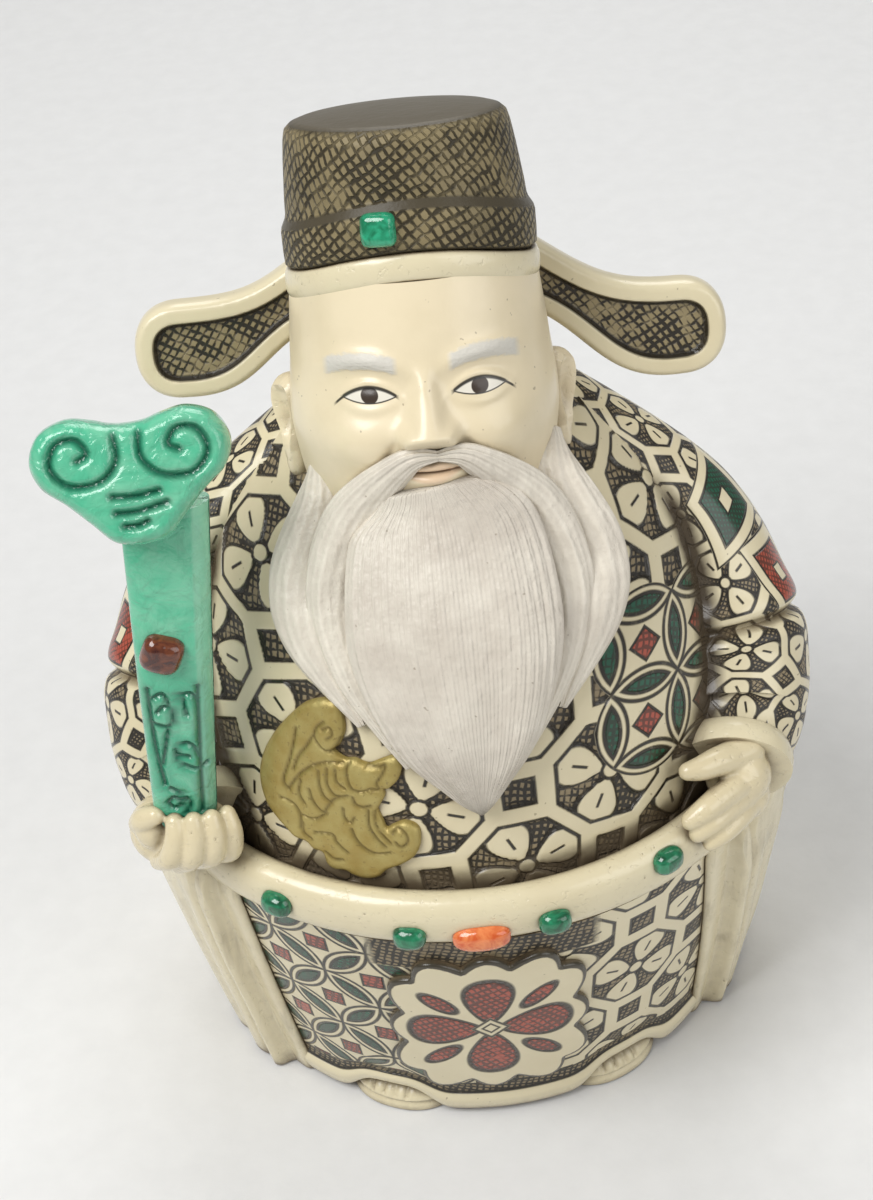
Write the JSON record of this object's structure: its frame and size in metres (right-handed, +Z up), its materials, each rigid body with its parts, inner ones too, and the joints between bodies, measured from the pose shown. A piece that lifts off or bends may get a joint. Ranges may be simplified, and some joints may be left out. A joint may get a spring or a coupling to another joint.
{
  "type": "figurine",
  "caption": "Round-bodied robed court official figurine in cast stone dust, with winged hat, long beard, green sceptre and stone-set belt hoop; stands on its flat base.",
  "frame": {"origin": "centre of the flat base on the table plane", "axes": "+Z up through the figure, -Y the way the figure faces, +X towards the figure's left hand"},
  "size_m": [0.0584, 0.0558, 0.0865],
  "materials": {
    "ivory_casting": "cream cast stone dust with dark brown stain in the engraved lines, semi-gloss lacquer",
    "face_casting": "plain cream cast stone dust, semi-gloss lacquer",
    "white_hair_paint": "white and grey paint over combed grooves, satin",
    "dark_hat_stain": "dark brown stain over cross-hatching, semi-gloss lacquer",
    "jade_green_casting": "mint green marbled casting with dark green engraving, gloss lacquer",
    "green_stone": "polished green cabochon",
    "coral_stone": "polished orange coral cabochon",
    "amber_stone": "polished red-brown amber cabochon",
    "gilt_paint": "worn gilt with engraved lines"
  },
  "bodies": {
    "root": {"robe_torso": "ivory_casting", "robe_skirt": "ivory_casting", "front_cartouche": "ivory_casting", "belt_hoop": "ivory_casting", "sleeve_right": "ivory_casting", "sleeve_left": "ivory_casting", "cuff_right": "ivory_casting", "cuff_left": "ivory_casting", "sleeve_drape_right": "ivory_casting", "sleeve_drape_left": "ivory_casting", "hat_trim": "ivory_casting", "shoe_right": "ivory_casting", "shoe_left": "ivory_casting", "head": "face_casting", "hand_right": "face_casting", "hand_left": "face_casting", "beard": "white_hair_paint", "moustache_right": "white_hair_paint", "moustache_left": "white_hair_paint", "sidelock_right": "white_hair_paint", "sidelock_left": "white_hair_paint", "hat": "dark_hat_stain", "hat_wing_right": "dark_hat_stain", "hat_wing_left": "dark_hat_stain", "ruyi_sceptre": "jade_green_casting", "hat_jewel": "green_stone", "belt_stone_1": "green_stone", "belt_stone_2": "green_stone", "belt_stone_3": "coral_stone", "belt_stone_4": "green_stone", "belt_stone_5": "green_stone", "sceptre_stone": "amber_stone", "bat_ornament": "gilt_paint"}
  },
  "joints": []
}
